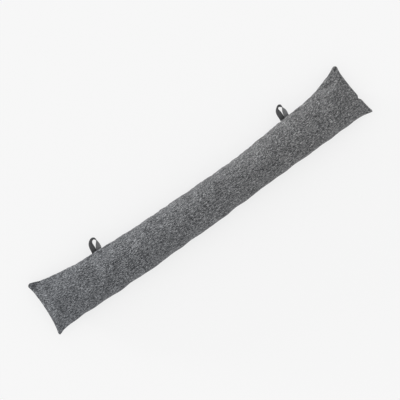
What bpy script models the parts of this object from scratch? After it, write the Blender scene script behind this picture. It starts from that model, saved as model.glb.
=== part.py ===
"""Draught excluder: a filled cloth tube, flat at its sewn ends, with two tape loops in its back seam.

Metres, +Z up. It lies on its base: +X runs along the tube and +Y points to the side with the loops.
The origin is under the middle of the whole object, at the height of the surface that it lies on.
"""

import math

import bmesh
import bpy
from mathutils import Vector

# Cover: a flat tube of cloth, filled and sewn across both ends
COVER_LENGTH = 0.900  # between the end seams, along the middle
GIRTH = 0.272  # round the tube, twice the 136 mm of its flat width
SEAM_THICKNESS = 0.0036  # two turned-in layers of cloth at an end seam
SEAM_HEIGHT = 0.023  # of an end seam's middle above the floor
SEAM_REACH = 0.004  # length over which the seam's stiff edge gives way to the filling
SAG = 0.10  # share of its half height that the filled tube sinks on to its base
FULL_HALF_HEIGHT = 0.038  # where the filling stops pushing the cloth up, and the rest goes into puckers
FILL_POWER = 8  # how suddenly it stops
EAR_REACH = 0.110  # length over which an end goes from pointed edges to round sides
LEFT_LEAN = math.radians(2.3)  # each end seam turns towards the loops, as the tube bows
RIGHT_LEAN = math.radians(4.4)
SEAM_DIP = 0.0045  # how far the middle of an end seam is drawn in between its corners
DIP_REACH = 0.050  # length over which that fades out along the tube

# A row for each change of outline. Offset is from the straight line between the ends to the
# section's middle, positive towards the loops.
SECTION_COLUMNS = ("along", "width", "offset")
SECTIONS = (
    (0.000, 0.1350, -0.0040),
    (0.014, 0.1320, -0.0026),
    (0.030, 0.1260, -0.0045),
    (0.050, 0.1215, -0.0062),
    (0.080, 0.1155, -0.0092),
    (0.115, 0.1105, -0.0125),
    (0.165, 0.1090, -0.0150),
    (0.240, 0.1055, -0.0188),
    (0.320, 0.1015, -0.0206),
    (0.400, 0.0995, -0.0212),
    (0.490, 0.0970, -0.0222),
    (0.570, 0.0940, -0.0210),
    (0.640, 0.0970, -0.0192),
    (0.710, 0.1020, -0.0158),
    (0.780, 0.1055, -0.0146),
    (0.812, 0.1080, -0.0122),
    (0.836, 0.1145, -0.0086),
    (0.856, 0.1205, -0.0058),
    (0.874, 0.1260, -0.0046),
    (0.888, 0.1320, -0.0030),
    (0.900, 0.1350, -0.0038),
)
STATIONS = 54  # rings along the cover
STATION_BUNCHING = 0.70  # 0 spaces the rings evenly, 1 crowds them towards the ends
RING_POINTS = 40

# Loops: woven tape, both ends caught in the back seam side by side
TAPE_WIDTH = 0.0130
TAPE_THICKNESS = 0.0020
TAPE_EDGE = 0.0005  # chamfer along the tape's edges
LOOP_DROOP = 0.0020
SEWING_GAP = 0.0004  # between the tape's ends and the cover

# A row for each loop. Foot and shoulder are half the distance between the tape's two runs, at the
# seam and at their widest. The turns are the tape's slope across its width, in degrees: 0 lies flat
# with its inner face up, 90 stands on edge and 180 lies flat with its outer face up.
LOOP_COLUMNS = ("node", "along", "reach", "lean", "foot", "shoulder", "turn_left", "turn_top", "turn_right")
LOOPS = (
    ("loop_left", 0.1815, 0.0275, 0.0050, 0.0070, 0.0090, 36, 72, 168),
    ("loop_right", 0.7280, 0.0300, 0.0035, 0.0070, 0.0082, 16, 75, 150),
)
LOOP_STEPS = 34
ARCH_SHARE = 0.36  # share of a loop's reach taken by its round top

CLOTH_GREY = (0.145, 0.148, 0.153, 1)
TAPE_GREY = (0.045, 0.046, 0.050, 1)
CLOTH_ROUGHNESS = 0.95
TAPE_ROUGHNESS = 0.85


def clear_scene():
    for item in list(bpy.data.objects):
        bpy.data.objects.remove(item, do_unlink=True)


def make_material(name, colour, roughness):
    material = bpy.data.materials.new(name)
    material.use_nodes = True
    shader = material.node_tree.nodes["Principled BSDF"]
    shader.inputs["Base Color"].default_value = colour
    shader.inputs["Roughness"].default_value = roughness
    shader.inputs["Metallic"].default_value = 0
    return material


def smooth_step(x):
    x = min(max(x, 0.0), 1.0)
    return x * x * (3 - 2 * x)


def read_section(column, along):
    """One column of SECTIONS at any distance along the tube, on a smooth curve through its rows."""
    k = SECTION_COLUMNS.index(column)
    last = len(SECTIONS) - 1
    i = max(j for j in range(last) if SECTIONS[j][0] <= along or j == 0)

    def slope(j):
        a, b = SECTIONS[max(j - 1, 0)], SECTIONS[min(j + 1, last)]
        return (b[k] - a[k]) / (b[0] - a[0])

    start, end = SECTIONS[i], SECTIONS[i + 1]
    step = end[0] - start[0]
    t = (along - start[0]) / step
    return (
        (2 * t**3 - 3 * t**2 + 1) * start[k]
        + (t**3 - 2 * t**2 + t) * step * slope(i)
        + (3 * t**2 - 2 * t**3) * end[k]
        + (t**3 - t**2) * step * slope(i + 1)
    )


def end_distance(along):
    return min(along, COVER_LENGTH - along)


def section_points(width, half_height, roundness, count):
    """Points (y, z) round one section that rests on z = 0. Roundness 1 is an ellipse, 2 has pointed sides."""
    middle = max(SEAM_HEIGHT, half_height * (1 - SAG))
    points = []
    for i in range(count):
        angle = 2 * math.pi * i / count
        rise = math.copysign(abs(math.sin(angle)) ** roundness, math.sin(angle))
        points.append((width / 2 * math.cos(angle), max(0.0, middle + half_height * rise)))
    return points


def outline_length(points):
    return sum(math.dist(points[i - 1], points[i]) for i in range(len(points)))


def half_height_at(along):
    """The half height that gives a section of the known width the cover's own girth."""
    width = read_section("width", along)
    low, high = SEAM_THICKNESS / 2, GIRTH / 4
    for _ in range(30):
        tried = (low + high) / 2
        points = section_points(width, tried, roundness_at(along), 2 * RING_POINTS)
        if outline_length(points) < GIRTH:
            low = tried
        else:
            high = tried
    filled = high * (1 + (high / FULL_HALF_HEIGHT) ** FILL_POWER) ** (-1 / FILL_POWER)
    at_seam = math.exp(-end_distance(along) / SEAM_REACH)
    return filled * (1 - at_seam) + SEAM_THICKNESS / 2 * at_seam


def roundness_at(along):
    return 2 - smooth_step(end_distance(along) / EAR_REACH)


def place_on_tube(along, y, width):
    """A point's x and y once the tube bows: its section fans out, and the end seams draw in."""
    share = along / COVER_LENGTH
    lean = LEFT_LEAN * (1 - share) - RIGHT_LEAN * share
    dip = SEAM_DIP * (1 - (2 * y / width) ** 2)
    dip *= math.exp(-along / DIP_REACH) - math.exp(-(COVER_LENGTH - along) / DIP_REACH)
    return along - COVER_LENGTH / 2 + math.tan(lean) * y + dip, y + read_section("offset", along)


def cover_rings():
    rings = []
    for i in range(STATIONS):
        even = i / (STATIONS - 1)
        bunched = (1 - math.cos(math.pi * even)) / 2
        along = COVER_LENGTH * (even * (1 - STATION_BUNCHING) + bunched * STATION_BUNCHING)
        width = read_section("width", along)
        points = section_points(width, half_height_at(along), roundness_at(along), RING_POINTS)
        rings.append([(*place_on_tube(along, y, width), z) for y, z in points])
    return rings


def loop_rings(loop):
    """Sections of one tape, from its left end in the seam, over the top of the loop, to its right end."""
    height = max(SEAM_HEIGHT, half_height_at(loop["along"]) * (1 - SAG))
    straight = loop["reach"] * (1 - ARCH_SHARE)

    def tape_middle(u):
        """u runs from -1 at the left end through 0 at the top of the loop to 1 at the right end."""
        side = math.copysign(1, u)
        if abs(u) < 0.5:
            angle = math.pi * abs(u)
            x = side * loop["shoulder"] * math.sin(angle)
            rise = straight + (loop["reach"] - straight) * math.cos(angle)
        else:
            down = (abs(u) - 0.5) * 2
            x = side * (loop["shoulder"] + (loop["foot"] - loop["shoulder"]) * smooth_step(down))
            rise = straight * (1 - down)
        share = rise / loop["reach"]
        return Vector((x + loop["lean"] * share, rise, height - LOOP_DROOP * share**2))

    def stand_on_seam(point):
        """From the loop's own x and rise to the tube's frame, so that both ends follow the cover's edge."""
        along = loop["along"] + point.x
        width = read_section("width", along)
        x, edge = place_on_tube(along, width / 2, width)
        return x, edge + SEWING_GAP + point.y, point.z

    half, thick = TAPE_WIDTH / 2, TAPE_THICKNESS / 2
    corners = (
        (half, thick - TAPE_EDGE),
        (half - TAPE_EDGE, thick),
        (TAPE_EDGE - half, thick),
        (-half, thick - TAPE_EDGE),
        (-half, TAPE_EDGE - thick),
        (TAPE_EDGE - half, -thick),
        (half - TAPE_EDGE, -thick),
        (half, TAPE_EDGE - thick),
    )
    rings = []
    for i in range(LOOP_STEPS + 1):
        u = 2 * i / LOOP_STEPS - 1
        forward = (tape_middle(min(u + 0.02, 1)) - tape_middle(max(u - 0.02, -1))).normalized()
        if i in (0, LOOP_STEPS):
            forward = Vector((0, math.copysign(1, -u), 0))
        outward = forward.cross(Vector((0, 0, -1))).normalized()
        upward = forward.cross(outward)
        at_end = loop["turn_left"] if u < 0 else loop["turn_right"]
        turn = math.radians(loop["turn_top"] + (at_end - loop["turn_top"]) * smooth_step(abs(u)))
        across = outward * math.cos(turn) + upward * math.sin(turn)
        face = outward * math.sin(turn) - upward * math.cos(turn)
        middle = tape_middle(u)
        rings.append([stand_on_seam(middle + across * a + face * b) for a, b in corners])
    return rings


def loft(name, rings, material, collection):
    """A closed skin over rings of equal count, with its first and last ring filled by a strip of faces."""
    mesh = bmesh.new()
    rows = [[mesh.verts.new(point) for point in ring] for ring in rings]
    count = len(rings[0])
    for near, far in zip(rows, rows[1:]):
        for i in range(count):
            j = (i + 1) % count
            mesh.faces.new((near[i], near[j], far[j], far[i]))
    for row in (rows[0], rows[-1]):
        for i in range(count // 2):
            corners = (row[i], row[i + 1], row[count - i - 1], row[(count - i) % count])
            mesh.faces.new(list(dict.fromkeys(corners)))
    bmesh.ops.recalc_face_normals(mesh, faces=mesh.faces)
    data = bpy.data.meshes.new(name)
    mesh.to_mesh(data)
    mesh.free()
    data.materials.append(material)
    data.shade_smooth()
    data.set_sharp_from_angle(angle=math.radians(50))
    part = bpy.data.objects.new(name, data)
    collection.objects.link(part)
    return part


def put_origin_under_middle(parts, collection):
    """Parents the parts to an empty that carries their shared box to the middle of the frame."""
    corners = [vertex.co for part in parts for vertex in part.data.vertices]
    low = Vector([min(co[k] for co in corners) for k in range(3)])
    high = Vector([max(co[k] for co in corners) for k in range(3)])
    holder = bpy.data.objects.new("draught_excluder", None)
    holder.location = (-(low.x + high.x) / 2, -(low.y + high.y) / 2, -low.z)
    collection.objects.link(holder)
    for part in parts:
        part.parent = holder


clear_scene()
parts_collection = bpy.data.collections.new("draught_excluder")
bpy.context.scene.collection.children.link(parts_collection)

cloth = make_material("melange_cloth", CLOTH_GREY, CLOTH_ROUGHNESS)
tape = make_material("loop_tape", TAPE_GREY, TAPE_ROUGHNESS)

made = [loft("cover", cover_rings(), cloth, parts_collection)]
for row in LOOPS:
    loop = dict(zip(LOOP_COLUMNS, row))
    made.append(loft(loop["node"], loop_rings(loop), tape, parts_collection))
put_origin_under_middle(made, parts_collection)
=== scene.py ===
import math

import bmesh
import bpy
import numpy as np
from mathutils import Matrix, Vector
from mathutils.bvhtree import BVHTree


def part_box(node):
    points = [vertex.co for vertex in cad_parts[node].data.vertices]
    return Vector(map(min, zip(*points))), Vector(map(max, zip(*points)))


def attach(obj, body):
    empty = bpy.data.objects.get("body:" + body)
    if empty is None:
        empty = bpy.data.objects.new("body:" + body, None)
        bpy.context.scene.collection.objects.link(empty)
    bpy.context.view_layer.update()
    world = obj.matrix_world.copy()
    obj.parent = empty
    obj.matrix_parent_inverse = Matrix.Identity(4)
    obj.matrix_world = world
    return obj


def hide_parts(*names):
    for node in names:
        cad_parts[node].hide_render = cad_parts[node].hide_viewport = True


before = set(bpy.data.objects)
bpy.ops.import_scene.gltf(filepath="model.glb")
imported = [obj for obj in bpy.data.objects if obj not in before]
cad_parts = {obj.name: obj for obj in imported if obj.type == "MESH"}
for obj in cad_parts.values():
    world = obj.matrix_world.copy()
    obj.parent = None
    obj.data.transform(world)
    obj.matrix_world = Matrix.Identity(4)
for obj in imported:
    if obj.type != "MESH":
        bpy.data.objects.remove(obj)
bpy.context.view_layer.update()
scene = bpy.context.scene
print("frame loaded:", ", ".join(sorted(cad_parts)))


def makeObject(name, data):
    made = bpy.data.objects.new(name, data)
    scene.collection.objects.link(made)
    return made


def meshFrom(work, name):
    # a smooth mesh from finished bmesh work
    bmesh.ops.recalc_face_normals(work, faces=work.faces)
    made = bpy.data.meshes.new(name)
    work.to_mesh(made)
    work.free()
    made.shade_smooth()
    return made


def plainMesh(thing, name):
    # the evaluated mesh, with its modifiers worked in
    depsgraph = bpy.context.evaluated_depsgraph_get()
    mesh = bpy.data.meshes.new_from_object(thing.evaluated_get(depsgraph))
    thing.modifiers.clear()
    thing.data = mesh
    mesh.name = name
    return thing


def readVectors(mesh, kind):
    # every point's place ("co") or direction ("normal")
    flat = np.zeros(len(mesh.vertices) * 3)
    mesh.vertices.foreach_get(kind, flat)
    return flat.reshape(-1, 3)


def writePoints(mesh, points):
    mesh.vertices.foreach_set("co", np.asarray(points, np.float32).ravel())
    mesh.update()


def storeValues(mesh, name, values):
    attribute = mesh.attributes.get(name) or mesh.attributes.new(name, "FLOAT", "POINT")
    attribute.data.foreach_set("value", np.asarray(values, np.float32))


def readValues(mesh, name):
    values = np.zeros(len(mesh.vertices), np.float32)
    mesh.attributes[name].data.foreach_get("value", values)
    return values.astype(float)


def waves(x, lengths, seed):
    # a smooth random line: one sine for each wavelength, with its own phase, from -1 to 1 or so
    phases = np.random.default_rng(seed).uniform(0, 2 * math.pi, len(lengths))
    total = sum(np.sin(2 * math.pi * x / length + phase) for length, phase in zip(lengths, phases))
    return total / math.sqrt(len(lengths))


def bell(x, width):
    return np.exp(-((x / width) ** 2))


def easeIn(x):
    x = np.clip(x, 0, 1)
    return x * x * (3 - 2 * x)


def wayAlong(places):
    # the distance gone at each of a line's points
    return np.concatenate([[0], np.cumsum(np.linalg.norm(np.diff(places, axis=0), axis=1))])


def mathMethod(operation, swapped=False):
    # a method that adds one Math node; swapped when the number stands before the shade
    def method(self, other=0.0):
        first, second = (other, self) if swapped else (self, other)
        return self.finish.node("Math", {"operation": operation}, {0: first, 1: second})

    return method


class Shade:
    # one output of a shader node, which works in sums
    def __init__(self, finish, socket):
        self.finish = finish
        self.socket = socket

    __add__ = mathMethod("ADD")
    __radd__ = mathMethod("ADD", swapped=True)
    __sub__ = mathMethod("SUBTRACT")
    __rsub__ = mathMethod("SUBTRACT", swapped=True)
    __mul__ = mathMethod("MULTIPLY")
    __rmul__ = mathMethod("MULTIPLY", swapped=True)
    __truediv__ = mathMethod("DIVIDE")
    __rtruediv__ = mathMethod("DIVIDE", swapped=True)
    __pow__ = mathMethod("POWER")
    __rpow__ = mathMethod("POWER", swapped=True)
    __abs__ = mathMethod("ABSOLUTE")
    sine = mathMethod("SINE")
    floor = mathMethod("FLOOR")
    larger = mathMethod("MAXIMUM")
    smaller = mathMethod("MINIMUM")

    def pinned(self):
        return self.larger(0.0).smaller(1.0)


class Finish:
    def __init__(self, name):
        self.material = bpy.data.materials.new(name)
        self.material.use_nodes = True
        self.tree = self.material.node_tree
        self.tree.nodes.clear()

    def node(self, kind, settings=None, inputs=None, output=0):
        made = self.tree.nodes.new("ShaderNode" + kind)
        for key, value in (settings or {}).items():
            if key == "stops":
                stops = made.color_ramp.elements
                while len(stops) < len(value):
                    stops.new(0.5)
                for stop, (place, colour) in zip(stops, value):
                    stop.position = place
                    stop.color = (*colour, 1)
            else:
                setattr(made, key, value)
        for key, value in (inputs or {}).items():
            if isinstance(value, Shade):
                self.tree.links.new(value.socket, made.inputs[key])
            else:
                made.inputs[key].default_value = value
        return Shade(self, made.outputs[output])

    def mixColour(self, factor, first, second, blend="MIX"):
        settings = {"data_type": "RGBA", "blend_type": blend}
        first, second = (c if isinstance(c, Shade) else (*c, 1) for c in (first, second))
        return self.node("Mix", settings, {0: factor, 6: first, 7: second}, 2)

    def place(self):
        return self.node("TexCoord", None, None, "Object")

    def stretch(self, vector, scale):
        return self.node("Mapping", None, {"Vector": vector, "Scale": scale})

    def noise(self, vector, scale, detail=2.0, roughness=0.5):
        values = {"Vector": vector, "Scale": scale, "Detail": detail, "Roughness": roughness}
        return self.node("TexNoise", None, values)

    def part(self, vector, name):
        return self.node("SeparateXYZ", None, {"Vector": vector}, name)

    def attribute(self, name):
        return self.node("Attribute", {"attribute_name": name}, None, "Fac")

    def chance(self, first, second):
        # a random value for each pair of whole numbers
        place = self.node("CombineXYZ", None, {"X": first, "Y": second})
        return self.node("TexWhiteNoise", {"noise_dimensions": "3D"}, {"Vector": place}, "Value")

    def finish(self, colour, roughness, normal=None, **fixed):
        inputs = {"Base Color": colour, "Roughness": roughness}
        if normal is not None:
            inputs["Normal"] = normal
        inputs.update({key.replace("_", " "): value for key, value in fixed.items()})
        shader = self.node("BsdfPrincipled", None, inputs)
        out = self.tree.nodes.new("ShaderNodeOutputMaterial")
        self.tree.links.new(shader.socket, out.inputs["Surface"])
        return self.material


coverPlan = {
    "rows": 200,  # rings along the tube
    "ringPoints": 72,
    "rowCrowding": 0.55,  # towards the end seams
    "seamCrowding": 0.5,  # towards the back seam
    "measures": 240,  # places along the tube where the solid is measured
    "seamHeights": (0.008, 0.045),  # between these the solid's widest line is looked for
    "heightSteps": 38,
    "inset": 0.0005,  # of the net's end rows from the solid's corners
    "thinnest": 0.0018,  # half of a ring's height, at the end seams
    "smoothing": (0.35, -0.36) * 4,  # takes the solid's facets out, and keeps its size
    "looseness": 0.025,  # cloth cut this much larger than the filling fills
    "pressure": 4.0,
    "grip": 0.05,  # how firmly the filling holds the cloth in place
    "endGrip": 0.007,  # width of the band that each end seam holds
    "seamGrip": 0.003,
    "reach": 0.005,  # the furthest that the filling moves a point
    "steps": 20,
    "endCalm": 0.045,  # the filling moves the cloth less, nearer an end seam than this
    "shapeKept": 0.9,  # share of the solid's own outline that is kept; the filling adds folds
    "foldReach": 90,
    "edgesKept": 0.93,  # of the outline seen from above
}

clothSettings = {
    "quality": 6,
    "mass": 0.15,
    "tension_stiffness": 30,
    "compression_stiffness": 30,
    "shear_stiffness": 12,
    "bending_stiffness": 2.5,
    "use_pressure": True,
    "uniform_pressure_force": coverPlan["pressure"],
    "shrink_min": -coverPlan["looseness"],
    "shrink_max": -coverPlan["looseness"],
    "vertex_group_mass": "held",
    "pin_stiffness": 1,
}


def solidTree(nodeName):
    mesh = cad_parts[nodeName].data
    corners = [v.co.copy() for v in mesh.vertices]
    return BVHTree.FromPolygons(corners, [p.vertices[:] for p in mesh.polygons])


def hit(tree, start, direction, axis, fallback):
    place = tree.ray_cast(Vector(start), Vector(direction))[0]
    return fallback if place is None else place[axis]


def coverTips():
    # the solid's furthest points, seen from above: -1 is left and front, 1 is right and back
    points = [v.co.copy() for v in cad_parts["cover"].data.vertices]
    return {(i, j): max(points, key=lambda p: i * p.x + j * p.y) for i in (-1, 1) for j in (-1, 1)}


def measureTube(tree, low, high, plan):
    # the tube's back, front, top, underside and seam height at even steps along it
    xs = np.linspace(low, high, plan["measures"])
    heights = np.linspace(*plan["seamHeights"], plan["heightSteps"])
    rows = []
    for x in xs:
        backs = [hit(tree, (x, 1, z), (0, -1, 0), 1, -1) for z in heights]
        fronts = [hit(tree, (x, -1, z), (0, 1, 0), 1, 1) for z in heights]
        seam = heights[int(np.argmax(backs))]
        middle = (max(backs) + min(fronts)) / 2
        top = hit(tree, (x, middle, 1), (0, 0, -1), 2, seam)
        bottom = hit(tree, (x, middle, -1), (0, 0, 1), 2, seam)
        rows.append((max(backs), min(fronts), top, bottom, seam))
    table = np.array(rows)
    spread = 3  # the seam's height is an average over this many measures on each side
    share = np.ones(2 * spread + 1) / (2 * spread + 1)
    table[:, 4] = np.convolve(np.pad(table[:, 4], spread, mode="edge"), share, mode="valid")
    return xs, table


def endSeams(tree, tips, across, inset):
    # each end seam's own line, found from outside: its x at each place across the tube
    lines = []
    for side in (-1, 1):
        back, front = tips[side, 1], tips[side, -1]
        ys = (back.y + front.y) / 2 + across * ((back.y - front.y) / 2 - inset)
        z = (back.z + front.z) / 2
        straight = np.interp(ys, (front.y, back.y), (front.x, back.x))
        found = [hit(tree, (side, y, z), (-side, 0, 0), 0, x) for y, x in zip(ys, straight)]
        lines.append(np.array(found))
    return lines


def spaceRound(ring, wanted):
    # points at the wanted shares of the way round a ring
    closed = np.concatenate([ring, ring[:1]])
    gone = wayAlong(closed)
    return np.stack([np.interp(wanted * gone[-1], gone, closed[:, k]) for k in range(3)], 1)


def netCover(plan):
    # rings of points on the solid, from its left end seam to its right one
    tree = solidTree("cover")
    tips = coverTips()
    first = max(tips[-1, 1].x, tips[-1, -1].x) + plan["inset"]
    last = min(tips[1, 1].x, tips[1, -1].x) - plan["inset"]
    xs, table = measureTube(tree, first, last, plan)
    turn = np.linspace(0, 2 * math.pi, 3 * plan["ringPoints"] + 1)[:-1]
    across, rise = np.cos(turn), np.sin(turn)
    left, right = endSeams(tree, tips, across, plan["inset"])
    even = np.linspace(0, 1, plan["rows"])
    crowded = (1 - np.cos(math.pi * even)) / 2
    along = even * (1 - plan["rowCrowding"]) + crowded * plan["rowCrowding"]
    wanted = np.linspace(0, 1, plan["ringPoints"] + 1)[:-1]
    wanted = wanted - plan["seamCrowding"] * np.sin(2 * math.pi * wanted) / (2 * math.pi)
    points = np.zeros((plan["rows"], plan["ringPoints"], 3))
    for i, share in enumerate(along):
        x = left + (right - left) * share
        back, front, top, bottom, seam = (np.interp(x, xs, table[:, k]) for k in range(5))
        y = (back + front) / 2 + across * (back - front) / 2
        half = np.where(rise > 0, top - seam, seam - bottom)
        z = seam + rise * np.maximum(half, plan["thinnest"])
        ring = np.array([tree.find_nearest(Vector(p))[0] for p in zip(x, y, z)])
        points[i] = spaceRound(ring, wanted)
    for share in plan["smoothing"]:
        inner = points[1:-1]
        around = (np.roll(inner, 1, 1) + np.roll(inner, -1, 1)) / 2
        inner += share * ((around + (points[:-2] + points[2:]) / 2) / 2 - inner)
    points[..., 2] = np.maximum(points[..., 2], 0)
    return points, along


def clothMesh(points, along):
    rows, count = points.shape[:2]
    steps = np.linalg.norm(np.roll(points, -1, 1) - points, axis=2)
    wayRound = np.concatenate([np.zeros((rows, 1)), np.cumsum(steps, 1)], 1)
    girth = np.median(wayRound[:, -1])
    wayRound *= girth / wayRound[:, -1:]
    length = wayAlong(points[:, count // 4])[-1]
    work = bmesh.new()
    layer = work.loops.layers.uv.new("clothMap")
    grid = [[work.verts.new(p) for p in ring] for ring in points]
    for i in range(rows - 1):
        for j in range(count):
            k = (j + 1) % count
            face = work.faces.new((grid[i][j], grid[i][k], grid[i + 1][k], grid[i + 1][j]))
            places = ((i, j), (i, j + 1), (i + 1, j + 1), (i + 1, j))
            for loop, (a, b) in zip(face.loops, places):
                loop[layer].uv = (along[a] * length, wayRound[a, b])
    for end in (0, rows - 1):
        ring = grid[end]
        for j in range(count // 2):  # strips that close the end, from its back to its front
            strip = (ring[j], ring[j + 1], ring[count - j - 1], ring[(count - j) % count])
            face = work.faces.new(list(dict.fromkeys(strip)))
            for loop in face.loops:
                loop[layer].uv = (along[end] * length, wayRound[end, ring.index(loop.vert)])
    mesh = meshFrom(work, "cover")
    fromSeam = np.minimum(wayRound[:, :-1], girth - wayRound[:, :-1])
    storeValues(mesh, "alongTube", np.repeat(along * length, count))
    storeValues(mesh, "fromSeam", fromSeam.ravel())
    print(f"cover net: {len(mesh.vertices)} points, {length:.3f} m long, {girth:.3f} m round")
    return mesh, length, girth


def smoothOnNet(values, plan):
    # values at the net's points, averaged again and again with their neighbours
    grid = values.reshape(plan["rows"], plan["ringPoints"], -1).copy()
    for _ in range(plan["foldReach"]):
        padded = np.concatenate([grid[:1], grid, grid[-1:]])
        grid = (np.roll(grid, 1, 1) + np.roll(grid, -1, 1) + padded[:-2] + padded[2:]) / 4
    return grid.reshape(values.shape)


def fitRows(before, after, plan):
    # brings each ring back towards its own place and width, seen from above
    shape = (plan["rows"], plan["ringPoints"], 3)
    before, after = before.reshape(shape), after.reshape(shape).copy()
    back, front = before[:, :, 1].max(1), before[:, :, 1].min(1)
    newBack, newFront = after[:, :, 1].max(1), after[:, :, 1].min(1)
    share = (after[:, :, 1] - newFront[:, None]) / (newBack - newFront)[:, None]
    fitted = front[:, None] + share * (back - front)[:, None]
    after[:, :, 1] += plan["edgesKept"] * (fitted - after[:, :, 1])
    return after.reshape(-1, 3)


def swellCloth(cover, held, plan):
    # the cover's points after its filling has pressed on the cloth
    group = cover.vertex_groups.new(name="held")
    for i in np.nonzero(held > 0.02)[0]:
        group.add([int(i)], float(held[i]), "REPLACE")
    cloth = cover.modifiers.new("filling", "CLOTH")
    for name, value in clothSettings.items():
        setattr(cloth.settings, name, value)
    cloth.settings.effector_weights.gravity = 0
    cloth.point_cache.frame_start = 1
    cloth.point_cache.frame_end = plan["steps"]
    for step in range(1, plan["steps"] + 1):
        scene.frame_set(step)
    depsgraph = bpy.context.evaluated_depsgraph_get()
    swollen = readVectors(cover.evaluated_get(depsgraph).data, "co")
    cover.modifiers.clear()
    scene.frame_set(1)
    return swollen


def fillCover(cover, plan, length):
    # the cloth swells on its filling, held at its seams and where it lies on the floor
    start = readVectors(cover.data, "co")
    along = readValues(cover.data, "alongTube")
    fromEnd = np.minimum(along, length - along)
    atSeam = 0.6 * bell(readValues(cover.data, "fromSeam"), plan["seamGrip"])
    held = np.maximum(bell(fromEnd, plan["endGrip"]), atSeam)
    held = np.maximum(held, plan["grip"])
    held = np.maximum(held, np.where(start[:, 2] < 0.0004, 1.0, 0.0))
    move = swellCloth(cover, held, plan) - start
    move -= plan["shapeKept"] * smoothOnNet(move, plan)
    move *= easeIn(fromEnd / plan["endCalm"])[:, None]
    size = np.linalg.norm(move, axis=1)
    move *= (plan["reach"] * np.tanh(size / plan["reach"]) / np.maximum(size, 1e-9))[:, None]
    writePoints(cover.data, fitRows(start, start + move, plan))
    moved = np.linalg.norm(readVectors(cover.data, "co") - start, axis=1)
    print(f"filling: moved {moved.mean() * 1000:.2f} mm on average, {moved.max() * 1000:.2f} mm at most")


coverShape = {
    "seamDepth": 0.0014,  # how far the back seam pulls the cloth in
    "seamWidth": 0.0022,
    "seamStart": 0.008,  # from an end seam, and it is full a fade further on
    "seamFade": 0.060,
    "gather": 0.0003,  # puckers along the back seam
    "gatherBand": 0.007,  # from the seam to the middle of the puckers
    "lipWidth": 0.0050,  # the turned-in cloth along an end seam
    "lipDepth": 0.0006,
    "threadLine": 0.0011,  # width of the dark line in a seam
    "pucker": 0.0008,  # puckers that run in from an end seam
    "puckerReach": 0.022,
    "unevenness": 0.0006,  # of the filling
    "swell": 0.0006,  # all round, for what the smoothing and the seam take off
    "notchPlace": 0.33,  # in the right end seam, as a share of it from the front
    "notchDepth": 0.0030,
    "notchWidth": 0.0032,
    # the ear gets painted shade, darkest at its middle
    "ear": (0.011, -0.009),  # middle of the left back corner's tucked cloth, from its tip
    "earSize": 0.011,
    "cornerBulk": 0.0018,  # seam cloth bunched inside a corner
    "bulkWidth": 0.009,
    "cornerReach": 0.0045,  # how far the corners are poked out
    "cornerSpread": 0.024,
    "cornerLean": {(-1, -1): 0.6, (-1, 1): 0.35, (1, -1): -0.25, (1, 1): 0.1},  # along the tube
    "cornerRound": 0.0085,
}

# valleys in the upper cloth, each with its two ends measured from the place that it belongs to; dark is
# how much painted shade darkens the cloth along it
coverValleys = [
    {
        "at": "notch",
        "ends": ((0.001, 0.0), (-0.022, 0.002)),
        "width": 0.0036,
        "depth": 0.0030,
        "dark": 0.7,
    },
    {
        "at": "right back tip",
        "ends": ((-0.050, -0.026), (-0.002, -0.021)),
        "width": 0.0040,
        "depth": 0.0024,
        "dark": 0.35,
    },
    {
        "at": "left back tip",
        "ends": ((0.026, -0.006), (0.004, -0.022)),
        "width": 0.0050,
        "depth": 0.0030,
        "dark": 0.5,
    },
]


def distanceAbove(points, place):
    # every point's distance from a place, seen from above
    return np.linalg.norm(points[:, :2] - np.array(place), axis=1)


def valley(points, start, end, width):
    # 1 on the line from start to end, seen from above, and 0 well away from it
    line = end - start
    away = points[:, :2] - start
    share = np.clip(away @ line / (line @ line), 0, 1)
    distance = np.linalg.norm(away - share[:, None] * line, axis=1)
    return bell(distance, width) * (1 - 0.6 * share)


def roundCorner(points, tip, first, second, radius):
    # brings a pointed corner back to an arc, seen from above, between the lines to first and second
    toFirst, toSecond = ((Vector(p) - Vector(tip)).normalized() for p in (first, second))
    inward = (toFirst + toSecond).normalized()
    sine = math.sin(toFirst.angle(toSecond) / 2)
    centre = np.array(Vector(tip) + inward * radius / sine)
    away = points[:, :2] - centre
    distance = np.linalg.norm(away, axis=1)
    towardsTip = -(away @ np.array(inward)) / np.maximum(distance, 1e-9)
    outside = (distance > radius) & (towardsTip > sine)
    share = np.where(outside, radius / np.maximum(distance, 1e-9), 1)
    points[:, :2] = centre + away * share[:, None]


def backSeamLift(along, fromSeam, plan):
    depth = plan["seamDepth"] * (1 + 0.3 * waves(along, (0.014, 0.023, 0.037), 3))
    gather = plan["gather"] * waves(along, (0.009, 0.013, 0.019), 4)
    return gather * bell(fromSeam - plan["gatherBand"], 0.006) - depth * bell(fromSeam, plan["seamWidth"])


def endLift(fromThisEnd, wayRound, seed, plan):
    # puckers that run in from one end seam
    reach = plan["puckerReach"] * (1 + 0.3 * waves(wayRound, (0.041, 0.064), seed))
    fade = np.exp(-((fromThisEnd / reach) ** 2)) * easeIn(fromThisEnd / 0.008)
    return plan["pucker"] * waves(wayRound + 0.15 * fromThisEnd, (0.017, 0.026, 0.041), seed + 1) * fade


def fillingLift(along, wayRound, plan):
    slant = wayRound * 0.6
    broad = waves(along + slant, (0.061, 0.093, 0.14), 11) * waves(wayRound, (0.07, 0.11), 12)
    broad += 0.6 * waves(along - slant, (0.043, 0.075), 13)
    return plan["unevenness"] * broad + plan["swell"]


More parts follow.
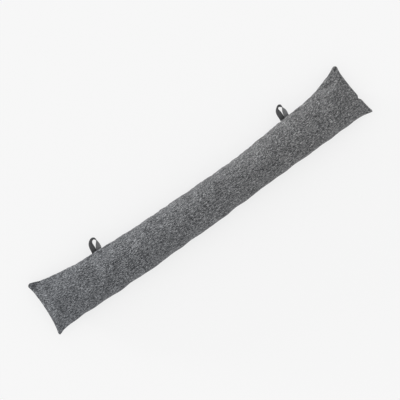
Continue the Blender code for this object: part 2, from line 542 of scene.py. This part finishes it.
def pokeCorners(points, tips, plan):
    # the seam cloth in a corner stands out past the filling, with a round tip
    for (i, j), tip in tips.items():
        pastEnd = (tip.xy - tips[-i, j].xy).normalized()
        pastSide = (tip.xy - tips[i, -j].xy).normalized()
        poke = (pastEnd * plan["cornerLean"][i, j] + pastSide).normalized() * plan["cornerReach"]
        near = bell(distanceAbove(points, tip.xy), plan["cornerSpread"])
        points[:, :2] += near[:, None] * np.array(poke)
        roundCorner(points, tip.xy + poke, tips[-i, j].xy, tips[i, -j].xy, plan["cornerRound"])


def sculptCover(cover, plan, length, girth):
    mesh = cover.data
    points, normals = readVectors(mesh, "co"), readVectors(mesh, "normal")
    along, fromSeam = readValues(mesh, "alongTube"), readValues(mesh, "fromSeam")
    fromRight = length - along
    fromEnd = np.minimum(along, fromRight)
    wayRound = np.where(normals[:, 2] > 0, fromSeam, girth - fromSeam)
    upper = easeIn(normals[:, 2] * 2 + 0.6)
    tips = coverTips()
    notch = tips[1, -1].lerp(tips[1, 1], plan["notchPlace"])

    lift = backSeamLift(along, fromSeam, plan) * easeIn((fromEnd - plan["seamStart"]) / plan["seamFade"])
    lift -= plan["lipDepth"] * bell(fromEnd - plan["lipWidth"], 0.0018)
    lift += endLift(along, wayRound, 5, plan) + endLift(fromRight, wayRound, 8, plan)
    lift += fillingLift(along, wayRound, plan) * easeIn((fromEnd - 0.01) / 0.04)

    # painted shade in the valleys and over the left ear, kept apart from the lift
    dark = np.zeros(len(points))
    places = {"notch": notch, "right back tip": tips[1, 1], "left back tip": tips[-1, 1]}
    for fold in coverValleys:
        start, end = (np.array(places[fold["at"]].xy) + np.array(offset) for offset in fold["ends"])
        depth = valley(points, start, end, fold["width"])
        lift -= upper * fold["depth"] * depth
        dark += fold["dark"] * depth
    # the left ear's flat cloth gets painted shade too
    earAway = points[:, :2] - np.array(tips[-1, 1].xy) - np.array(plan["ear"])
    ear = bell(np.hypot(earAway[:, 0], earAway[:, 1] * 1.3), plan["earSize"])
    dark = np.maximum(dark, 0.6 * ear) * upper
    endLine = bell(fromEnd - plan["lipWidth"], plan["threadLine"])
    seamLines = np.maximum(bell(fromSeam, plan["threadLine"]), 0.45 * endLine)
    # the painted shade, joined with the seams' own dark lines, darkens the cloth's colour
    storeValues(mesh, "crease", np.clip(np.maximum(dark, 0.75 * seamLines), 0, 1))

    for tip in tips.values():
        lift += plan["cornerBulk"] * bell(distanceAbove(points, tip.xy), plan["bulkWidth"])
    points += normals * lift[:, None]
    nearNotch = bell(points[:, 1] - notch.y, plan["notchWidth"]) * easeIn(1 - fromRight / 0.012)
    points[:, 0] -= plan["notchDepth"] * nearNotch
    pokeCorners(points, tips, plan)
    points[:, 2] = np.maximum(points[:, 2], 0)
    writePoints(mesh, points)


melange = {
    "fleck": (0.0026, 0.0014),  # a fleck of yarn, along the tube and round it
    "fleckShare": 0.40,
    "strand": (160, 850, 1),  # spun yarn, to the metre along the tube and round it
    "strandShare": 2.6,
    "streak": (45, 520, 1),
    "streakShare": 0.85,
    "fibre": (1100, 3200, 1),
    "fibreShare": 0.9,
    "speck": 620.0,
    "speckShare": 1.3,
    "pitch": 0.0013,  # between yarns of the weave
    # painted shade: the gaps between yarns darker than their crossings
    "weaveGapShade": 0.22,
    "weaveDepth": 0.0005,
    "patchShare": 0.15,
    "toneShift": 0.05,
    "dark": (0.031, 0.032, 0.034),
    "middle": (0.114, 0.115, 0.118),
    "light": (0.475, 0.475, 0.475),
    "tint": (0.915, 0.95, 1.0),  # of the left end
    # colour of the painted shade in the valleys and on the ear, and of the seams' dark lines
    "shadeAndSeamTone": (0.02, 0.02, 0.022),
    "roughness": 0.95,
}


def melangeCloth(plan):
    cloth = Finish("melange_cloth")
    mapped = cloth.node("UVMap", {"uv_map": "clothMap"})
    wander = cloth.noise(cloth.place(), 420.0, 2.0) - 0.5
    drift = cloth.noise(cloth.place(), 60.0, 2.0) - 0.5
    u = cloth.part(mapped, "X") + wander * 0.0022 + drift * 0.003
    v = cloth.part(mapped, "Y") - wander * 0.0016 + drift * 0.002
    long, wide = plan["fleck"]
    row = (v / wide).floor()
    column = (u / long + row * 0.37).floor()
    fleck = cloth.chance(column, row)
    strand = cloth.noise(cloth.stretch(mapped, plan["strand"]), 1.0, 4.0, 0.7)
    streak = cloth.noise(cloth.stretch(mapped, plan["streak"]), 1.0, 2.0)
    fibre = cloth.noise(cloth.stretch(mapped, plan["fibre"]), 1.0, 3.0, 0.7)
    speck = cloth.noise(cloth.place(), plan["speck"], 3.0, 0.7)
    patch = cloth.noise(cloth.place(), 30.0, 3.0)
    rate = math.pi / plan["pitch"]
    warp, weft = abs((u * rate).sine()), abs((v * rate).sine())
    yarn = (warp * weft) ** 0.5
    mixed = (strand - 0.5) * plan["strandShare"] + (streak - 0.5) * plan["streakShare"]
    mixed = mixed + (speck - 0.5) * plan["speckShare"] + (fibre - 0.5) * plan["fibreShare"]
    tone = fleck * plan["fleckShare"] + mixed + patch * plan["patchShare"]
    # the weave adds painted shade in its gaps
    tone = tone + yarn * plan["weaveGapShade"] + plan["toneShift"]
    stops = ((0.08, plan["dark"]), (0.5, plan["middle"]), (0.95, plan["light"]))
    colour = cloth.node("ValToRGB", {"stops": stops}, {"Fac": tone}, "Color")
    towardsLeft = (cloth.part(cloth.place(), "X") * -1.6 + 0.35).pinned()
    colour = cloth.mixColour(towardsLeft, colour, plan["tint"], "MULTIPLY")
    # painted shade from the sculpted valleys and ear, with the seams' dark lines
    colour = cloth.mixColour(cloth.attribute("crease") * 0.7, colour, plan["shadeAndSeamTone"])
    height = yarn * 0.7 + fleck * 0.2 + fibre * 0.5 + speck * 0.4
    bump = cloth.node("Bump", None, {"Strength": 0.7, "Distance": plan["weaveDepth"], "Height": height})
    return cloth.finish(colour, plan["roughness"], bump, Sheen_Weight=0.12, Specular_IOR_Level=0.2)


netPoints, netAlong = netCover(coverPlan)
coverMesh, tubeLength, tubeGirth = clothMesh(netPoints, netAlong)
cover = makeObject("cover_cloth", coverMesh)
coverMesh.materials.append(melangeCloth(melange))
fillCover(cover, coverPlan, tubeLength)
finer = cover.modifiers.new("finer", "SUBSURF")
finer.levels = 1
finer.render_levels = 1
plainMesh(cover, "cover_cloth")
cover.data.shade_smooth()
sculptCover(cover, coverShape, tubeLength, tubeGirth)
print(f"cover: {len(cover.data.polygons)} faces")

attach(cover, "root")
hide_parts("cover")

tapePlan = {
    "width": 0.013,
    "thickness": 0.0016,
    "ribs": 8,  # across its width
    "ribDepth": 0.0002,
    "steps": 110,  # along it
    "tuck": 0.14,  # how far the ends go into the seam
    "arch": 0.36,  # share of a loop's reach taken by its round top
    "twistFrom": 0.15,  # share of a run, from the top, where the twist begins
    "droop": 0.002,
    "raised": 0.001,  # of the ends above the middle of the seam
    "dark": (0.022, 0.023, 0.025),
    "light": (0.215, 0.217, 0.222),
}

# Foot and shoulder are half the distance between the tape's two runs, at the seam and at their
# widest. Turns are its slope across its width, in degrees, at the left end, the top and the right
# end, and turned is how soon, down the left and the right run, it has reached the end's slope.
leftLoop = {
    "shift": -0.0012,
    "reach": -0.0008,
    "lean": 0.0076,
    "foot": 0.0064,
    "shoulder": 0.0082,
    "turns": (16, 67, 168),
    "turned": (0.72, 0.90),
}
rightLoop = {
    "shift": -0.0006,
    "reach": -0.0020,
    "lean": 0.0040,
    "foot": 0.0060,
    "shoulder": 0.0072,
    "turns": (10, 69, 156),
    "turned": (0.52, 0.66),
}


def loopMiddle(plan, reach, u):
    # the tape's middle line: x along the seam, rise away from it, and height above the seam
    side = math.copysign(1, u)
    straight = reach * (1 - tapePlan["arch"])
    down = (abs(u) - 0.5) * 2
    if down < 0:
        angle = math.pi * abs(u)
        x = side * plan["shoulder"] * math.sin(angle)
        rise = straight + (reach - straight) * math.cos(angle)
    else:
        closing = float(easeIn(down))
        x = side * (plan["shoulder"] + (plan["foot"] - plan["shoulder"]) * closing)
        rise = straight * (1 - down)
    share = rise / reach
    return Vector((x + plan["lean"] * share, rise, -tapePlan["droop"] * share**2))


def tapeFrame(plan, reach, u):
    # the tape's middle, its direction across its width, and its direction out of its face
    step = 0.02
    forward = (loopMiddle(plan, reach, u + step) - loopMiddle(plan, reach, u - step)).normalized()
    outward = forward.cross(Vector((0, 0, -1))).normalized()
    upward = forward.cross(outward)
    leftTurn, topTurn, rightTurn = plan["turns"]
    leftSoon, rightSoon = plan["turned"]
    atEnd, soon = (leftTurn, leftSoon) if u < 0 else (rightTurn, rightSoon)
    twisted = float(easeIn((abs(u) - tapePlan["twistFrom"]) / soon))
    turn = math.radians(topTurn + (atEnd - topTurn) * twisted)
    across = outward * math.cos(turn) + upward * math.sin(turn)
    facing = outward * math.sin(turn) - upward * math.cos(turn)
    return loopMiddle(plan, reach, u), across, facing


def tapeSection():
    # the tape's outline: place across its width, height of the face, and 1 on the inner side
    half, ribs = tapePlan["width"] / 2, tapePlan["ribs"]
    places = np.linspace(-1, 1, 4 * ribs + 1)
    ribbed = tapePlan["ribDepth"] * (np.cos(math.pi * ribs * (places + 1)) - 1) / 2
    edgeRound = np.sqrt(np.maximum(1 - np.abs(places) ** 10, 0.12))
    heights = tapePlan["thickness"] / 2 * edgeRound + ribbed
    outer = [(a * half, h, 0.0) for a, h in zip(places, heights)]
    inner = [(a * half, -h, 1.0) for a, h in zip(places[::-1], heights[::-1])]
    return outer + inner


def makeLoop(name, node, plan, material):
    low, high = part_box(node)
    tree = solidTree("cover")
    seamHeight = (low[2] + high[2]) / 2
    middleX = (low[0] + high[0]) / 2 + plan["shift"]
    span = 0.012  # each way along the seam, for its slope
    edges = [hit(tree, (middleX + x, 1, seamHeight), (0, -1, 0), 1, low[1]) for x in (-span, span)]
    slope = (edges[1] - edges[0]) / (2 * span)
    edge = (edges[0] + edges[1]) / 2
    reach = high[1] - edge + plan["reach"]
    section = tapeSection()
    ends = 1 + tapePlan["tuck"]
    rows, middles = [], []
    work = bmesh.new()
    layer = work.loops.layers.uv.new("tapeMap")
    for u in np.linspace(-ends, ends, tapePlan["steps"] + 1):
        middle, across, facing = tapeFrame(plan, reach, u)
        row = []
        for a, h, _ in section:
            p = middle + across * a + facing * h
            height = seamHeight + tapePlan["raised"] + p.z
            row.append(work.verts.new((middleX + p.x, edge + slope * p.x + p.y, height)))
        rows.append(row)
        middles.append(middle)
    gone = wayAlong(np.array(middles))
    count = len(section)
    for i in range(len(rows) - 1):
        for j in range(count):
            k = (j + 1) % count
            face = work.faces.new((rows[i][j], rows[i][k], rows[i + 1][k], rows[i + 1][j]))
            for loop, (a, b) in zip(face.loops, ((i, j), (i, k), (i + 1, k), (i + 1, j))):
                loop[layer].uv = (gone[a], section[b][0])
    for row in (rows[0], rows[-1]):
        for j in range(count // 2 - 1):
            work.faces.new((row[j], row[j + 1], row[count - j - 2], row[count - j - 1]))
    mesh = meshFrom(work, name)
    storeValues(mesh, "innerSide", [inner for _, _, inner in section] * len(rows))
    storeValues(mesh, "fromSeam", np.repeat([max(m.y, 0) for m in middles], count))
    mesh.materials.append(material)
    loop = makeObject(name, mesh)
    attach(loop, "root")
    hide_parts(node)
    print(f"{name}: tape {gone[-1] * 1000:.1f} mm long, {len(mesh.polygons)} faces")


def tapeWeave(plan):
    tape = Finish("loop_tape")
    mapped = tape.node("UVMap", {"uv_map": "tapeMap"})
    u, v = tape.part(mapped, "X"), tape.part(mapped, "Y")
    fromSeam = tape.attribute("fromSeam")
    # painted shade: the tape darker near the seam, where its two runs meet
    lit = (fromSeam / 0.008).pinned() * 0.5 + 0.5  # darker where the runs meet at the seam
    ribs = (v * (math.pi * 2 * plan["ribs"] / plan["width"])).sine()
    picks = (u * (math.pi * 2 / 0.0011)).sine()
    fibre = tape.noise(tape.stretch(mapped, (500, 2500, 1)), 1.0, 3.0)
    # painted shade on the tape's inner face, fading towards the loop's top
    shade = tape.attribute("innerSide") * (0.82 - (fromSeam / 0.028).pinned() * 0.45)
    tone = (1 - shade) * lit * (0.62 + fibre * 0.6 + ribs * 0.12 + picks * 0.08)
    colour = tape.mixColour(tone.pinned(), plan["dark"], plan["light"])
    height = picks * ribs * 0.4 + fibre * 0.4
    bump = tape.node("Bump", None, {"Strength": 0.5, "Distance": 0.00025, "Height": height})
    return tape.finish(colour, 0.85, bump, Specular_IOR_Level=0.25)


tapeMaterial = tapeWeave(tapePlan)
makeLoop("tape_left", "loop_left", leftLoop, tapeMaterial)
makeLoop("tape_right", "loop_right", rightLoop, tapeMaterial)

stitchPlan = {
    "spacing": 0.0042,
    "length": 0.0030,  # across the seam
    "thread": 0.00026,  # its radius
    "arch": 0.0003,
    "sides": 6,
    "scatter": 0.16,  # the furthest that one turns, in radians
    "raised": 0.0004,  # above the bottom of the seam's valley
    "margin": 0.045,  # clear of the end seams
    "dark": (0.03, 0.031, 0.034),
}


def threadStitch(plan):
    # one stitch along its own Y, bowed up in the middle
    work = bmesh.new()
    turns = [2 * math.pi * k / plan["sides"] for k in range(plan["sides"])]
    rings = []
    for share in np.linspace(-1, 1, 7):
        radius = plan["thread"] * (1 - 0.5 * share**4)
        centre = Vector((0, share * plan["length"] / 2, plan["arch"] * (1 - share**2)))
        places = [centre + Vector((math.cos(t), 0, math.sin(t))) * radius for t in turns]
        rings.append([work.verts.new(p) for p in places])
    for near, far in zip(rings, rings[1:]):
        for k in range(plan["sides"]):
            j = (k + 1) % plan["sides"]
            work.faces.new((near[k], near[j], far[j], far[k]))
    work.faces.new(rings[0])
    work.faces.new(rings[-1])
    return makeObject("stitch_model", meshFrom(work, "stitch"))


class Layout:
    # a Geometry Nodes tree with named inputs
    def __init__(self, name, inputs):
        self.tree = bpy.data.node_groups.new(name, "GeometryNodeTree")
        self.tree.interface.new_socket("Geometry", in_out="INPUT", socket_type="NodeSocketGeometry")
        self.tree.interface.new_socket("Geometry", in_out="OUTPUT", socket_type="NodeSocketGeometry")
        for label, kind in inputs.items():
            self.tree.interface.new_socket(label, in_out="INPUT", socket_type="NodeSocket" + kind)
        self.given = self.tree.nodes.new("NodeGroupInput").outputs

    def node(self, kind, settings=None, inputs=None, output=0):
        made = self.tree.nodes.new(kind)
        for key, value in (settings or {}).items():
            setattr(made, key, value)
        for key, value in (inputs or {}).items():
            if isinstance(value, bpy.types.NodeSocket):
                self.tree.links.new(value, made.inputs[key])
            else:
                made.inputs[key].default_value = value
        return made.outputs[output]

    def finish(self, geometry):
        end = self.tree.nodes.new("NodeGroupOutput")
        self.tree.links.new(geometry, end.inputs[0])
        return self

    def apply(self, thing, values):
        # values by the inputs' names; the result becomes the object's plain mesh
        modifier = thing.modifiers.new("layout", "NODES")
        modifier.node_group = self.tree
        for item in self.tree.interface.items_tree:
            if item.in_out == "INPUT" and item.name in values:
                modifier[item.identifier] = values[item.name]
        return plainMesh(thing, thing.name)


def stitchLayout():
    # a stitch at every step along a seam, across it and out from the cloth
    inputs = {"Stitch": "Object", "Spacing": "Float", "Scatter": "Float", "Thread": "Material"}
    layout = Layout("stitches", inputs)
    node, given = layout.node, layout.given
    align = "FunctionNodeAlignRotationToVector"
    curve = node("GeometryNodeMeshToCurve", None, {0: given["Geometry"]})
    spaced = {"Curve": curve, "Length": given["Spacing"]}
    points = node("GeometryNodeResampleCurve", {"mode": "LENGTH"}, spaced)
    facing = node("GeometryNodeInputNamedAttribute", {"data_type": "FLOAT_VECTOR"}, {"Name": "facing"})
    upright = node(align, {"axis": "Z"}, {"Vector": facing})
    alongSeam = {"Rotation": upright, "Vector": node("GeometryNodeInputTangent")}
    turned = node(align, {"axis": "X", "pivot_axis": "Z"}, alongSeam)
    model = node("GeometryNodeObjectInfo", None, {"Object": given["Stitch"]}, "Geometry")
    placed = {"Points": points, "Instance": model, "Rotation": turned}
    stitches = node("GeometryNodeInstanceOnPoints", None, placed)
    chance = node("FunctionNodeRandomValue", {"data_type": "FLOAT"}, {2: -1.0, 3: 1.0, "Seed": 5}, 1)
    twist = node("ShaderNodeMath", {"operation": "MULTIPLY"}, {0: chance, 1: given["Scatter"]})
    spin = node("ShaderNodeCombineXYZ", None, {"Z": twist})
    spun = node("GeometryNodeRotateInstances", None, {"Instances": stitches, "Rotation": spin})
    real = node("GeometryNodeRealizeInstances", None, {"Geometry": spun})
    threaded = {"Geometry": real, "Material": given["Thread"]}
    return layout.finish(node("GeometryNodeSetMaterial", None, threaded))


def backSeamLine(name, mesh, plan, length):
    # an edge line along the bottom of the back seam's valley, with the cloth's own directions
    along, fromSeam = readValues(mesh, "alongTube"), readValues(mesh, "fromSeam")
    clear = (along > plan["margin"]) & (along < length - plan["margin"])
    on = np.nonzero((fromSeam < 1e-5) & clear)[0]
    on = on[np.argsort(along[on])]
    facings = readVectors(mesh, "normal")[on]
    places = readVectors(mesh, "co")[on] + facings * plan["raised"]
    line = bpy.data.meshes.new(name)
    line.from_pydata([tuple(p) for p in places], [(k, k + 1) for k in range(len(places) - 1)], [])
    facing = line.attributes.new("facing", "FLOAT_VECTOR", "POINT")
    facing.data.foreach_set("vector", np.asarray(facings, np.float32).ravel())
    return makeObject(name, line)


stitchModel = threadStitch(stitchPlan)
stitching = backSeamLine("back_seam_stitches", cover.data, stitchPlan, tubeLength)
stitchValues = {
    "Stitch": stitchModel,
    "Spacing": stitchPlan["spacing"],
    "Scatter": stitchPlan["scatter"],
    "Thread": Finish("thread").finish((*stitchPlan["dark"], 1), 0.8, Specular_IOR_Level=0.3),
}
stitchLayout().apply(stitching, stitchValues)
bpy.data.objects.remove(stitchModel, do_unlink=True)
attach(stitching, "root")
print(f"stitches: {len(stitching.data.polygons)} faces")

studio = {
    "floorHalf": 6,
    "floorTone": (0.25, 0.25, 0.25, 1),
    "floorGlow": 0.705,
    "sky": 0.85,
    "sun": 2.8,
    "sunAngle": 12,
    "sunFrom": (-0.58, 0.81, 0.05),
    "lens": 100,
    "cameraOver": (-0.0010, -0.0044),
    "cameraTurn": -35.5,
    "seen": 0.941,  # metres across the picture
    "seenAt": 0.03,  # at this height above the floor
}


def makeFloor(plan):
    half = plan["floorHalf"]
    corners = [(-half, -half, 0), (half, -half, 0), (half, half, 0), (-half, half, 0)]
    mesh = bpy.data.meshes.new("floor")
    mesh.from_pydata(corners, [], [(0, 1, 2, 3)])
    glow = {"Emission_Color": (1, 1, 1, 1), "Emission_Strength": plan["floorGlow"]}
    mesh.materials.append(Finish("floor").finish(plan["floorTone"], 1.0, Specular_IOR_Level=0.0, **glow))
    return makeObject("floor", mesh)


def makeLight(plan):
    scene.world = bpy.data.worlds.new("studio")
    scene.world.use_nodes = True
    background = scene.world.node_tree.nodes["Background"]
    background.inputs["Strength"].default_value = plan["sky"]
    background.inputs["Color"].default_value = (1, 1, 1, 1)
    sun = bpy.data.lights.new("key", "SUN")
    sun.energy = plan["sun"]
    sun.angle = math.radians(plan["sunAngle"])
    key = makeObject("key", sun)
    key.rotation_euler = Vector(plan["sunFrom"]).to_track_quat("Z", "Y").to_euler()


def makeCamera(plan):
    camera = bpy.data.cameras.new("camera")
    camera.lens = plan["lens"]
    height = plan["seenAt"] + plan["seen"] * plan["lens"] / camera.sensor_width
    made = makeObject("camera", camera)
    made.location = (*plan["cameraOver"], height)
    made.rotation_euler = (0, 0, math.radians(plan["cameraTurn"]))
    return made


floor = makeFloor(studio)
makeLight(studio)
scene.camera = makeCamera(studio)
scene.view_settings.view_transform = "Standard"
print("floor, light and camera set")
